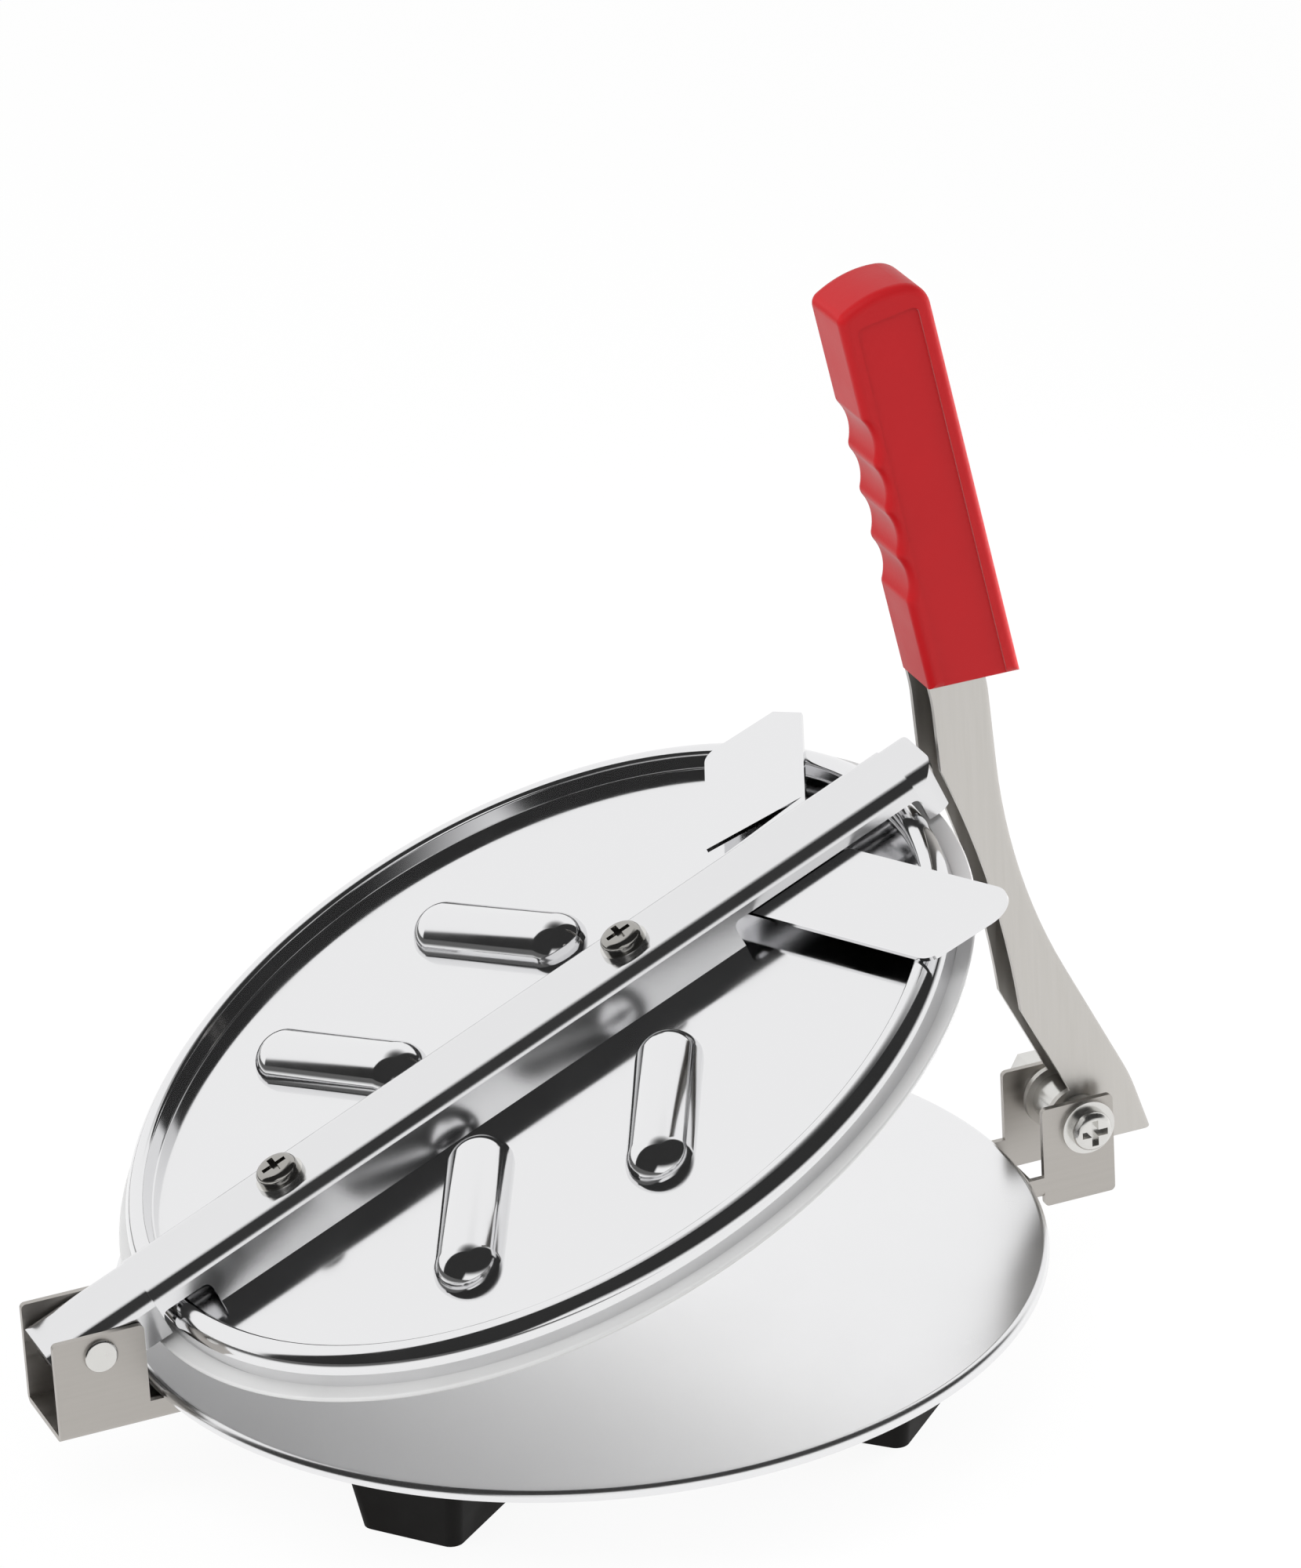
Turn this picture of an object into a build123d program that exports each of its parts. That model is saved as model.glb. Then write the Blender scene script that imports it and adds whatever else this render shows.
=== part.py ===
# Hand press for flat dough: a round base on four feet, a hinged lid carried by a beam,
# and an upright lever with a moulded grip.
# Millimetres, +Z up. The origin lies on the table, below the middle of the press's length.
# +X runs from the hinge to the lever. The lid stands part open and the lever stands upright.

import os
from math import cos, radians, sin, sqrt, tan

from build123d import *

os.makedirs("parts", exist_ok=True)

# Base
base_x = -4.668
base_diameter = 180.0
base_sheet = 0.8
rim_height = 3.0
rim_lip = 6.0
rim_clearance = 22.0
corner_share = 0.48

# Feet
foot_length = 22.0
foot_width = 21.0
foot_draft = 8.0
foot_corner = 2.5
foot_setback = 20.0
foot_angle = 42.5
feet_twist = 3.7
foot_stud_diameter = 5.0
foot_stud_flange = 8.0
foot_stud_flange_height = 0.8
foot_stud_end = 2.0
foot_washer_diameter = 12.0
foot_washer_height = 1.0
foot_nut_flats = 8.0
foot_nut_height = 4.0
foot_pocket_depth = 8.0

# Channel under the base, with its ears
channel_sheet = 1.2
channel_drop = 4.5
channel_bend = 1.6
ear_corner = 1.0
hinge_ear_length = 18.1
hinge_ear_gap = 1.5
lever_ear_length = 15.2
lever_ear_gap = 3.9
hinge_ear_top = 4.2
lever_ear_top = 5.6
lever_ear_drop = 1.8

# Hinge
hinge_offset = 10.4
hinge_rise = 9.2
hinge_pin_diameter = 5.0
hinge_head_diameter = 6.6
hinge_head_height = 0.9
hinge_head_round = 0.5
open_angle = 23.6

# Lid
closed_gap = 1.0
press_inset = 0.4
press_sheet = 1.0
cover_sheet = 0.8
cover_inset = 3.4
bead_width = 5.0
bead_slope = 0.15
bead_height = 4.0
bead_foot_round = 0.4
bead_inner_round = 1.0
bead_outer_round = 3.6
cover_rise = 2.4

# Ribs of the lid
rib_length = 42.5
rib_width = 13.6
rib_lean = 29.0
rib_front_x = 10.3
rib_front_y = 40.9
rib_rear_x = -29.6
rib_rear_y = 34.6

# Beam across the lid
beam_width = 16.2
beam_sheet = 1.2
beam_height = 9.0
beam_bend = 3.0
beam_spread = 12.0
beam_overhang_depth = 10.0
beam_tail = 8.6
beam_tail_flap = 5.4
beam_nose = 2.8
beam_nose_round = 4.0
beam_arch_round = 1.5
beam_arch_setback = 5.3

# Wing strip
wing_sheet = 0.8
wing_rear = 43.5
wing_chord = 22.5
wing_sweep = 22.3
wing_middle = 3.0
wing_front_reach = 55.0
wing_back_reach = 48.0
wing_twist = 2.5
wing_round = 4.0
wing_tip_round = 6.0
wing_tip_cut = 6.5
relief_tip_x = 71.2
relief_tip_y = 14.9
relief_inner_y = 12.6
relief_outer_y = 19.8
relief_margin = 1.5

# Posts and screws that hold the beam
post_diameter = 8.0
screw_diameter = 4.0
screw_depth = 6.0
screw_head_diameter = 8.4
screw_head_height = 2.4
screw_head_round = 1.4
screw_recess_width = 1.2
screw_recess_length = 5.0
screw_recess_depth = 1.2
screw_washer_diameter = 9.6
screw_washer_height = 0.8
screw_front_x = 25.1
screw_rear_x = -53.5

# Lever
pivot_offset = 13.4
pivot_rise = 6.2
lever_width = 11.2
lever_depth = 12.0
lever_sheet = 1.2
lever_bend = 1.6
lever_lobe = 6.5
lever_heel_drop = 6.0
knee_x = -12.3
knee_z = 55.0
knee_round = 127.0
heel_x = 12.1
heel_z = 5.9
heel_round = 40.0
heel_lean = 17.7
heel_run = 1.4
neck_x = -15.3
neck_z = 96.3
neck_round = 40.0
neck_cover = 2.2
tang_depth = 8.5
tang_length = 70.0

# Lever bolt
bolt_diameter = 6.0
bolt_head_diameter = 8.2
bolt_head_height = 2.8
bolt_head_round = 1.6
bolt_recess_width = 1.4
bolt_recess_length = 5.4
bolt_recess_depth = 1.4
bolt_end = 1.2
bolt_washer_diameter = 11.0
bolt_washer_height = 1.0
bolt_nut_flats = 10.0
bolt_nut_height = 5.0
bolt_spacer_diameter = 10.0

# Grip
grip_lean = 11.2
grip_bottom_half = 9.3
grip_top_half = 9.3
grip_length = 84.0
grip_thickness = 14.6
grip_offset = 2.9
grip_crown = 2.0
grip_crown_place = 0.35
grip_edge_round = 1.8
grip_back_round = 6.0
grip_lid_round = 2.4
grip_panel_depth = 0.5
grip_panel_border = 3.0
grip_panel_side = 1.6
grip_ridges = 5
grip_ridge_pitch = 9.8
grip_ridge_start = 21.2
grip_ridge_depth = 1.3
grip_ridge_round = 2.2

# Clearances
hinge_side_gap = 0.3
pin_fit = 0.05
running_fit = 0.06
thread_fit = 0.05
hole_fit = 0.2
spacer_gap = 0.15
wing_fit = 0.2
bead_gap = 0.5
nose_gap = 0.6
grip_fit = 0.12

# Derived heights and places
base_radius = base_diameter / 2
foot_reach = base_radius - foot_setback
base_top = rim_clearance + rim_height
disc_under = base_top - base_sheet
hinge_x = base_x - base_radius - hinge_offset
hinge_z = base_top + hinge_rise
pivot_x = base_x + base_radius + pivot_offset
pivot_z = base_top + pivot_rise
channel_bottom = rim_clearance - channel_drop
ear_inner = beam_width / 2 + hinge_side_gap
ear_outer = ear_inner + channel_sheet

press_radius = base_radius - press_inset
press_bottom = base_top + closed_gap
press_top = press_bottom + press_sheet
cover_top = press_top + cover_rise
cover_under = cover_top - cover_sheet
cover_radius = press_radius - cover_inset
bead_inner = cover_radius - bead_width
bead_top = cover_top + bead_height
beam_top = cover_top + beam_height
web_under = beam_top - beam_sheet

# The lid is drawn as it lies closed, with the base centre as zero, on planes turned about the hinge
turn = radians(open_angle)
closed_x = base_x - hinge_x
lid_origin = (
    hinge_x + closed_x * cos(turn) + hinge_z * sin(turn),
    0,
    hinge_z + closed_x * sin(turn) - hinge_z * cos(turn),
)
lid_along = (cos(turn), 0, sin(turn))
lid_normal = (-sin(turn), 0, cos(turn))
lid_flat = Plane(origin=lid_origin, x_dir=lid_along, z_dir=lid_normal)
lid_side = Plane(origin=lid_origin, x_dir=lid_along, z_dir=(0, -1, 0))
lid_axis = Axis(lid_origin, lid_normal)
hinge_local = hinge_x - base_x


def lid_direction(along, across, up):
    start = lid_flat.from_local_coords(Vector(0, 0, 0))
    return lid_flat.from_local_coords(Vector(along, across, up)) - start


def save(piece, name):
    piece.part.label = name
    export_step(piece.part, "parts/" + name + ".step")


# Base plate: flat disc whose rim is folded round and under
with BuildPart() as base_plate:
    with BuildSketch(Plane.XZ):
        with BuildLine():
            FilletPolyline(
                (base_x, base_top),
                (base_x + base_radius, base_top),
                (base_x + base_radius, rim_clearance),
                (base_x + base_radius - rim_lip, rim_clearance),
                radius=rim_height * corner_share,
            )
            offset(amount=base_sheet, side=Side.RIGHT)
        make_face()
    revolve(axis=Axis((base_x, 0, 0), (0, 0, 1)))
save(base_plate, "base_plate")

# Channel: the walls stop under the folded rim and rise again as ears outside it.
# At the lever's end the web stops short, so that the lever's heel can swing between the ears.
lip_inner = base_radius - rim_lip
wall_inner = sqrt(lip_inner**2 - ear_outer**2) - hole_fit
hinge_ear_inner = base_x - base_radius - hinge_ear_gap
hinge_ear_outer = hinge_ear_inner - hinge_ear_length
lever_ear_inner = base_x + base_radius + lever_ear_gap
lever_ear_outer = lever_ear_inner + lever_ear_length
with BuildPart() as base_channel:
    with BuildSketch(Plane.XZ):
        with BuildLine():
            FilletPolyline(
                (hinge_ear_outer, channel_bottom),
                (lever_ear_inner, channel_bottom),
                (lever_ear_inner, rim_clearance),
                (base_x + wall_inner, rim_clearance),
                (base_x + wall_inner, disc_under),
                (base_x - wall_inner, disc_under),
                (base_x - wall_inner, rim_clearance),
                (hinge_ear_inner, rim_clearance),
                (hinge_ear_inner, hinge_z + hinge_ear_top),
                (hinge_ear_outer, hinge_z + hinge_ear_top),
                radius=[0, 0, 0, 0, 0, 0, 0, 0, ear_corner, ear_corner],
                close=True,
            )
        make_face()
    extrude(amount=ear_outer, both=True)
    bottom_edges = base_channel.edges().filter_by(Axis.X).group_by(Axis.Z)[0]
    fillet(bottom_edges, channel_bend)
    with BuildSketch(Plane.XZ):
        with BuildLine():
            FilletPolyline(
                (lever_ear_inner, channel_bottom - lever_ear_drop),
                (lever_ear_outer, channel_bottom - lever_ear_drop),
                (lever_ear_outer, pivot_z + lever_ear_top),
                (lever_ear_inner, pivot_z + lever_ear_top),
                radius=ear_corner,
                close=True,
            )
        make_face()
    extrude(amount=ear_outer, both=True)
    with BuildSketch(Plane.XY.offset(pivot_z)):
        with Locations((lever_ear_inner, 0)):
            Rectangle(2 * lever_ear_length, 2 * ear_inner, align=(Align.MIN, Align.CENTER))
    extrude(amount=pivot_z, both=True, mode=Mode.SUBTRACT)
    with BuildSketch(Plane.YZ.offset(hinge_ear_outer)):
        with Locations((0, channel_bottom + channel_sheet)):
            Rectangle(2 * ear_inner, hinge_z, align=(Align.CENTER, Align.MIN))
    extrude(amount=lever_ear_outer - hinge_ear_outer, mode=Mode.SUBTRACT)
    with BuildSketch(Plane.XZ):
        with Locations((hinge_x, hinge_z)):
            Circle(hinge_pin_diameter / 2 + pin_fit)
        with Locations((pivot_x, pivot_z)):
            Circle(bolt_diameter / 2 + pin_fit)
    extrude(amount=ear_outer, both=True, mode=Mode.SUBTRACT)
save(base_channel, "base_channel")

# Feet: tapered blocks, each set square to its radius, the four turned a little against the channel
foot_center = foot_reach - foot_length / 2
foot_turns = {
    "foot_front_left": 180 + foot_angle - feet_twist,
    "foot_front_right": -foot_angle - feet_twist,
    "foot_rear_left": 180 - foot_angle - feet_twist,
    "foot_rear_right": foot_angle - feet_twist,
}
foot_spots = [
    (base_x + foot_center * cos(radians(foot_turn)), foot_center * sin(radians(foot_turn)))
    for foot_turn in foot_turns.values()
]
foot_top_length = foot_length + 2 * disc_under * tan(radians(foot_draft))
foot_top_width = foot_width + 2 * disc_under * tan(radians(foot_draft))
for (foot_name, foot_turn), (foot_x, foot_y) in zip(foot_turns.items(), foot_spots):
    foot_radial = (cos(radians(foot_turn)), sin(radians(foot_turn)), 0)
    foot_base = Plane(origin=(foot_x, foot_y, 0), x_dir=foot_radial, z_dir=(0, 0, 1))
    with BuildPart() as foot:
        with BuildSketch(foot_base):
            RectangleRounded(foot_length, foot_width, foot_corner)
        with BuildSketch(foot_base.offset(disc_under)):
            RectangleRounded(foot_top_length, foot_top_width, foot_corner)
        loft(ruled=True)
        with BuildSketch(foot_base):
            Circle(foot_stud_diameter / 2 + hole_fit)
        extrude(amount=disc_under, mode=Mode.SUBTRACT)
        with BuildSketch(foot_base):
            Circle(foot_washer_diameter / 2 + hole_fit)
        extrude(amount=foot_pocket_depth, mode=Mode.SUBTRACT)
        with BuildSketch(foot_base.offset(disc_under)):
            Circle(foot_stud_flange / 2 + hole_fit)
        extrude(amount=-foot_stud_flange_height - hole_fit, mode=Mode.SUBTRACT)
    save(foot, foot_name)

# Fasteners of the feet: a stud welded to the disc, a washer and a nut for each
with BuildPart() as foot_studs:
    with BuildSketch(Plane.XY.offset(foot_stud_end)):
        with Locations(*foot_spots):
            Circle(foot_stud_diameter / 2)
    extrude(amount=disc_under - foot_stud_end)
    with BuildSketch(Plane.XY.offset(disc_under)):
        with Locations(*foot_spots):
            Circle(foot_stud_flange / 2)
    extrude(amount=-foot_stud_flange_height)
save(foot_studs, "foot_studs")

with BuildPart() as foot_washers:
    with BuildSketch(Plane.XY.offset(foot_pocket_depth)):
        with Locations(*foot_spots):
            Circle(foot_washer_diameter / 2)
            Circle(foot_stud_diameter / 2 + hole_fit, mode=Mode.SUBTRACT)
    extrude(amount=-foot_washer_height)
save(foot_washers, "foot_washers")

with BuildPart() as foot_nuts:
    with BuildSketch(Plane.XY.offset(foot_pocket_depth - foot_washer_height)):
        with Locations(*foot_spots):
            RegularPolygon(foot_nut_flats / 2, 6, major_radius=False)
            Circle(foot_stud_diameter / 2 + thread_fit, mode=Mode.SUBTRACT)
    extrude(amount=-foot_nut_height)
save(foot_nuts, "foot_nuts")

# Hinge pin: plain rod, riveted over at both ears
with BuildPart() as hinge_pin:
    with BuildSketch(Plane.XZ):
        with Locations((hinge_x, hinge_z)):
            Circle(hinge_pin_diameter / 2)
    extrude(amount=ear_outer, both=True)
    for side in (-1, 1):
        head_plane = Plane(origin=(hinge_x, side * ear_outer, hinge_z), z_dir=(0, side, 0))
        with BuildSketch(head_plane):
            Circle(hinge_head_diameter / 2)
        extrude(amount=hinge_head_height)
    head_rims = hinge_pin.edges().filter_by(GeomType.CIRCLE).sort_by(Axis.Y)
    fillet([head_rims[0], head_rims[-1]], hinge_head_round)
save(hinge_pin, "hinge_pin")

# Press plate: the flat disc that meets the dough, with a softened edge
with BuildPart() as press_plate:
    with BuildSketch(lid_flat.offset(press_bottom)):
        Circle(press_radius)
    extrude(amount=press_sheet)
    fillet(press_plate.edges(), press_sheet * corner_share)
save(press_plate, "press_plate")

# Cover: one sheet with a raised bead round it, turned down at the edge, and four pressed ribs with round ends
rib_places = [
    (rib_front_x, rib_front_y),
    (rib_rear_x, rib_rear_y),
]
rib_outer = rib_width / 2
rib_hollow = rib_outer - cover_sheet
rib_straight = rib_length / 2 - rib_outer
with BuildPart() as lid_cover:
    with BuildSketch(lid_side):
        with BuildLine():
            FilletPolyline(
                (0, cover_top),
                (bead_inner, cover_top),
                (bead_inner + bead_slope, bead_top),
                (cover_radius, bead_top),
                (cover_radius, press_top),
                radius=[bead_foot_round, bead_inner_round, bead_outer_round],
            )
            offset(amount=cover_sheet, side=Side.RIGHT)
        make_face()
    revolve(axis=lid_axis)
    for rib_x, rib_y in rib_places:
        for side in (-1, 1):
            rib_along = lid_direction(-sin(radians(rib_lean)), side * cos(radians(rib_lean)), 0)
            rib_across = lid_direction(cos(radians(rib_lean)), side * sin(radians(rib_lean)), 0)
            rib_center = lid_flat.from_local_coords(Vector(rib_x, side * rib_y, cover_under))
            rib_plane = Plane(origin=rib_center, x_dir=rib_across, z_dir=rib_along)
            rib_up = 1 if rib_plane.y_dir.dot(Vector(*lid_normal)) > 0 else -1
            rib_box = (Align.CENTER, Align.MIN if rib_up > 0 else Align.MAX)
            rib_ends = [
                Plane(origin=rib_center + rib_along * reach, x_dir=rib_along, z_dir=lid_normal)
                for reach in (-rib_straight, rib_straight)
            ]
            for rib_radius, rib_mode in ((rib_outer, Mode.ADD), (rib_hollow, Mode.SUBTRACT)):
                with BuildSketch(rib_plane):
                    Circle(rib_radius)
                    Rectangle(rib_width, rib_width, align=rib_box, mode=Mode.INTERSECT)
                extrude(amount=rib_straight, both=True, mode=rib_mode)
                with Locations(*rib_ends):
                    Sphere(rib_radius, 0, align=(Align.CENTER, Align.CENTER, Align.MIN), mode=rib_mode)
    with BuildSketch(lid_flat.offset(cover_under)):
        with Locations((screw_front_x, 0), (screw_rear_x, 0)):
            Circle(post_diameter / 2 + hole_fit)
    extrude(amount=cover_sheet, mode=Mode.SUBTRACT)
save(lid_cover, "lid_cover")

# Beam: inverted channel that rests on the cover, bridges the bead and wing and goes on past the rim
tail_x = hinge_local - beam_tail
nose_x = base_radius + beam_nose
overhang_bottom = beam_top - beam_overhang_depth
arch_top = bead_top + bead_gap
beam_half = beam_width / 2
flange_inner = beam_half - beam_sheet
inner_bend = beam_bend - beam_sheet
flange_spread = beam_overhang_depth * tan(radians(beam_spread))
arch_inner = bead_inner - beam_arch_setback
arch_outer = cover_radius + bead_gap
wing_slope = tan(radians(wing_sweep))
wing_top = bead_top + wing_sheet
notch_top = wing_top + wing_fit
notch_rear = wing_rear + wing_fit
screw_spots = [(screw_front_x, 0), (screw_rear_x, 0)]
tail_plane = Plane(
    origin=lid_flat.from_local_coords(Vector(tail_x, 0, 0)),
    x_dir=(0, 1, 0),
    z_dir=lid_along,
)
beam_stretches = [
    (0, -arch_outer - tail_x, 0),
    (-arch_outer - tail_x, 2 * arch_outer, beam_spread),
    (arch_outer - tail_x, nose_x - arch_outer, 0),
]


def beam_section(half_width, top, spread):
    reach = half_width + beam_overhang_depth * tan(radians(spread))
    bottom = top - beam_overhang_depth
    return [(-reach, bottom), (-half_width, top), (half_width, top), (reach, bottom)]


with BuildPart() as lid_beam:
    for start, length, spread in beam_stretches:
        with BuildSketch(tail_plane.offset(start)):
            with BuildLine():
                FilletPolyline(
                    *beam_section(beam_half, beam_top, spread),
                    radius=[0, beam_bend, beam_bend, 0],
                    close=True,
                )
            make_face()
        extrude(amount=length)
    with BuildSketch(lid_side):
        with BuildLine():
            FilletPolyline(
                (tail_x, overhang_bottom),
                (-arch_outer, overhang_bottom),
                (-arch_outer, arch_top),
                (-arch_inner, arch_top),
                (-arch_inner, cover_top),
                (notch_rear, cover_top),
                (notch_rear, notch_top),
                (arch_outer, notch_top),
                (arch_outer, overhang_bottom),
                (nose_x, overhang_bottom),
                (nose_x, beam_top),
                (tail_x, beam_top),
                radius=[0, 0, beam_arch_round, beam_arch_round, 0, 0,
                        beam_arch_round, beam_arch_round, 0, 0, 0, 0],
                close=True,
            )
        make_face()
    extrude(amount=beam_half + flange_spread, both=True, mode=Mode.INTERSECT)
    for start, length, spread in beam_stretches:
        hollow_start = max(start, beam_sheet)
        with BuildSketch(tail_plane.offset(hollow_start)):
            with BuildLine():
                FilletPolyline(
                    *beam_section(flange_inner, web_under, spread),
                    radius=[0, inner_bend, inner_bend, 0],
                    close=True,
                )
            make_face()
        extrude(amount=start + length - hollow_start, mode=Mode.SUBTRACT)
    with BuildSketch(lid_flat.offset(beam_top - beam_tail_flap)):
        with Locations((tail_x, 0)):
            Rectangle(2 * beam_sheet, 2 * flange_inner)
    extrude(amount=-beam_overhang_depth, mode=Mode.SUBTRACT)
    with BuildSketch(lid_flat.offset(beam_top)) as beam_plan:
        with Locations((tail_x, 0)):
            Rectangle(
                arch_outer - tail_x,
                2 * (beam_half + flange_spread),
                align=(Align.MIN, Align.CENTER),
            )
            Rectangle(nose_x - tail_x, beam_width, align=(Align.MIN, Align.CENTER))
        fillet(beam_plan.vertices().group_by(Axis.X)[-1], beam_nose_round)
    extrude(amount=-beam_overhang_depth, mode=Mode.INTERSECT)
    with BuildSketch(lid_side):
        with Locations((hinge_local, hinge_z)):
            Circle(hinge_pin_diameter / 2 + running_fit)
    extrude(amount=beam_half, both=True, mode=Mode.SUBTRACT)
    with BuildSketch(lid_flat.offset(web_under)):
        with Locations(*screw_spots):
            Circle(screw_diameter / 2 + hole_fit)
    extrude(amount=beam_sheet, mode=Mode.SUBTRACT)
save(lid_beam, "lid_beam")

# Wing: flat swept strip that lies on the bead, held down by the beam and slit behind it from its rear edge
wing_plane = Plane(
    origin=lid_flat.from_local_coords(Vector(wing_rear, wing_middle, bead_top)),
    x_dir=lid_direction(cos(radians(wing_twist)), -sin(radians(wing_twist)), 0),
    z_dir=lid_normal,
)
front_arm = wing_front_reach + wing_middle
back_arm = wing_back_reach - wing_middle
with BuildPart() as lid_wing:
    with BuildSketch(wing_plane) as wing_plan:
        with BuildLine():
            Polyline(
                (0, 0),
                (wing_slope * back_arm, back_arm),
                (wing_slope * back_arm + wing_chord, back_arm),
                (wing_chord, 0),
                (wing_slope * front_arm + wing_chord, -front_arm),
                (wing_slope * front_arm, -front_arm),
                close=True,
            )
        make_face()
        fillet(wing_plan.vertices().group_by(Axis.Y)[0].sort_by(Axis.X)[-1], wing_tip_round)
        fillet(wing_plan.vertices().group_by(Axis.Y)[0].sort_by(Axis.X)[0], wing_round)
        fillet(wing_plan.vertices().group_by(Axis.Y)[-1].sort_by(Axis.X)[0], wing_round)
        chamfer(wing_plan.vertices().group_by(Axis.Y)[-1].sort_by(Axis.X)[-1], wing_tip_cut)
    extrude(amount=wing_sheet)
    with BuildSketch(lid_flat.offset(bead_top)):
        with BuildLine():
            Polyline(
                (wing_rear - relief_margin, relief_inner_y),
                (wing_rear - relief_margin, relief_outer_y),
                (relief_tip_x, relief_tip_y),
                close=True,
            )
        make_face()
    extrude(amount=wing_sheet, mode=Mode.SUBTRACT)
save(lid_wing, "lid_wing")

# Posts welded on the press plate, and the washers and screws that hold the beam on them
with BuildPart() as lid_posts:
    with BuildSketch(lid_flat.offset(press_top)):
        with Locations(*screw_spots):
            Circle(post_diameter / 2)
    extrude(amount=web_under - press_top)
    with BuildSketch(lid_flat.offset(web_under)):
        with Locations(*screw_spots):
            Circle(screw_diameter / 2 + thread_fit)
    extrude(amount=-screw_depth - thread_fit, mode=Mode.SUBTRACT)
save(lid_posts, "lid_posts")

with BuildPart() as lid_washers:
    with BuildSketch(lid_flat.offset(beam_top)):
        with Locations(*screw_spots):
            Circle(screw_washer_diameter / 2)
            Circle(screw_diameter / 2 + hole_fit, mode=Mode.SUBTRACT)
    extrude(amount=screw_washer_height)
save(lid_washers, "lid_washers")

head_bottom = beam_top + screw_washer_height
head_top = head_bottom + screw_head_height
with BuildPart() as lid_screws:
    with BuildSketch(lid_flat.offset(head_bottom)):
        with Locations(*screw_spots):
            Circle(screw_head_diameter / 2)
    extrude(amount=screw_head_height)
    fillet(lid_screws.edges().group_by(lid_axis)[-1], screw_head_round)
    with BuildSketch(lid_flat.offset(web_under - screw_depth)):
        with Locations(*screw_spots):
            Circle(screw_diameter / 2)
    extrude(amount=head_bottom - web_under + screw_depth)
    with BuildSketch(lid_flat.offset(head_top)):
        with Locations(*screw_spots):
            Rectangle(screw_recess_length, screw_recess_width)
            Rectangle(screw_recess_width, screw_recess_length)
    extrude(amount=-screw_recess_depth, mode=Mode.SUBTRACT)
save(lid_screws, "lid_screws")

# Lever: cranked channel, open towards the lid, with its edge relieved for the beam's nose
lever_half = lever_width / 2
lean_sin = sin(radians(grip_lean))
lean_cos = cos(radians(grip_lean))
heel_corner = (pivot_x + heel_x, pivot_z + heel_z)
knee = (pivot_x + knee_x, pivot_z + knee_z)
neck = (pivot_x + neck_x, pivot_z + neck_z)
heel_end = (
    heel_corner[0] + lever_depth * tan(radians(heel_lean)) * heel_run,
    heel_corner[1] - lever_depth * heel_run,
)
tang_end = (neck[0] - tang_length * lean_sin, neck[1] + tang_length * lean_cos)
lever_rounds = [heel_round, knee_round, neck_round]
heel_bottom = pivot_z - lever_heel_drop
nose_reach = sqrt((nose_x - hinge_local) ** 2 + max(beam_top - hinge_z, hinge_z - overhang_bottom) ** 2)
grip_bottom = neck[1] + neck_cover
tang_edge_rise = (grip_bottom - neck[1] + tang_depth * lean_sin) / lean_cos
tang_edge_low = (neck[0] - tang_depth * lean_cos - tang_edge_rise * lean_sin, grip_bottom)
tang_edge_high = (tang_end[0] - tang_depth * lean_cos, tang_end[1] - tang_depth * lean_sin)
section_depth = 3 * lever_depth
with BuildPart() as lever_arm:
    with BuildLine(Plane.XZ) as lever_back:
        FilletPolyline(heel_end, heel_corner, knee, neck, tang_end, radius=lever_rounds)
    back_start = lever_back.line @ 0
    back_tangent = lever_back.line % 0
    with BuildSketch(Plane(origin=back_start, x_dir=(0, 1, 0), z_dir=back_tangent)) as channel_section:
        Rectangle(lever_width, section_depth, align=(Align.CENTER, Align.MIN))
        fillet(channel_section.vertices().group_by(Axis.Y)[0], lever_bend)
        with Locations((0, lever_sheet)):
            Rectangle(
                lever_width - 2 * lever_sheet,
                section_depth,
                align=(Align.CENTER, Align.MIN),
                mode=Mode.SUBTRACT,
            )
    sweep()
    with BuildSketch(Plane.XZ):
        with BuildLine():
            FilletPolyline(heel_end, heel_corner, knee, neck, tang_end, radius=lever_rounds)
            offset(amount=lever_depth, side=Side.BOTH)
        make_face()
        with Locations((pivot_x, pivot_z)):
            Circle(lever_lobe)
        with Locations((hinge_x, hinge_z)):
            Circle(nose_reach + nose_gap, mode=Mode.SUBTRACT)
        with Locations((pivot_x, heel_bottom)):
            Rectangle(
                section_depth * 2,
                section_depth,
                align=(Align.CENTER, Align.MAX),
                mode=Mode.SUBTRACT,
            )
        with BuildLine():
            Polyline(
                tang_edge_low,
                tang_edge_high,
                (tang_edge_high[0] - section_depth, tang_edge_high[1]),
                (tang_edge_low[0] - section_depth, tang_edge_low[1]),
                close=True,
            )
        make_face(mode=Mode.SUBTRACT)
    extrude(amount=lever_half, both=True, mode=Mode.INTERSECT)
    with BuildSketch(Plane.XZ):
        with Locations((pivot_x, pivot_z)):
            Circle(bolt_diameter / 2 + running_fit)
    extrude(amount=lever_half, both=True, mode=Mode.SUBTRACT)
save(lever_arm, "lever_arm")

# Bush on the bolt, between the lever's sides
bolt_side = Plane(origin=(pivot_x, 0, pivot_z), x_dir=(1, 0, 0), z_dir=(0, -1, 0))
with BuildPart() as lever_bush:
    with BuildSketch(bolt_side):
        Circle(bolt_spacer_diameter / 2)
        Circle(bolt_diameter / 2 + running_fit, mode=Mode.SUBTRACT)
    extrude(amount=lever_half - lever_sheet, both=True)
save(lever_bush, "lever_bush")

# Spacers between the ears and the lever's sides
with BuildPart() as lever_spacers:
    for side in (-1, 1):
        with BuildSketch(bolt_side.offset(side * ear_inner)):
            Circle(bolt_spacer_diameter / 2)
            Circle(bolt_diameter / 2 + pin_fit, mode=Mode.SUBTRACT)
        extrude(amount=-side * (ear_inner - lever_half - spacer_gap))
save(lever_spacers, "lever_spacers")

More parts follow.
